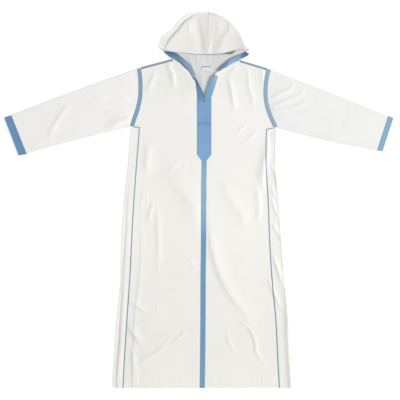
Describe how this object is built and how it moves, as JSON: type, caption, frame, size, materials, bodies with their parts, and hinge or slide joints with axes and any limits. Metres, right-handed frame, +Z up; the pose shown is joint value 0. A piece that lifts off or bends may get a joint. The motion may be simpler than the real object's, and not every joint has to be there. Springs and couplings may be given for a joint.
{
  "type": "hooded thobe",
  "caption": "Full-length white hooded thobe laid flat on its back, with a blue placket, centre band, cuffs, armhole tape and side piping.",
  "frame": {"origin": "middle of the garment's outline, on the surface that it lies on", "axes": "+Z up from the surface, +Y from hem to hood, +X to the right of someone who looks down at the front"},
  "size_m": [1.5571, 1.5056, 0.0089],
  "materials": {
    "white_cotton": "matte plain weave",
    "blue_cotton": "matte plain weave tape",
    "label_satin": "smooth woven satin"
  },
  "bodies": {
    "root": {"back": "white_cotton", "front_left": "white_cotton", "front_right": "white_cotton", "gore_left": "white_cotton", "gore_right": "white_cotton", "sleeve_left": "white_cotton", "sleeve_right": "white_cotton", "hood_left": "white_cotton", "hood_right": "white_cotton", "cuff_left": "blue_cotton", "cuff_right": "blue_cotton", "hood_facing_left": "blue_cotton", "hood_facing_right": "blue_cotton", "hood_facing_top": "blue_cotton", "placket": "blue_cotton", "centre_band": "blue_cotton", "armhole_tape_left": "blue_cotton", "armhole_tape_right": "blue_cotton", "shoulder_tape_left": "blue_cotton", "shoulder_tape_right": "blue_cotton", "piping_left": "blue_cotton", "piping_right": "blue_cotton", "neck_label": "label_satin"}
  },
  "joints": []
}
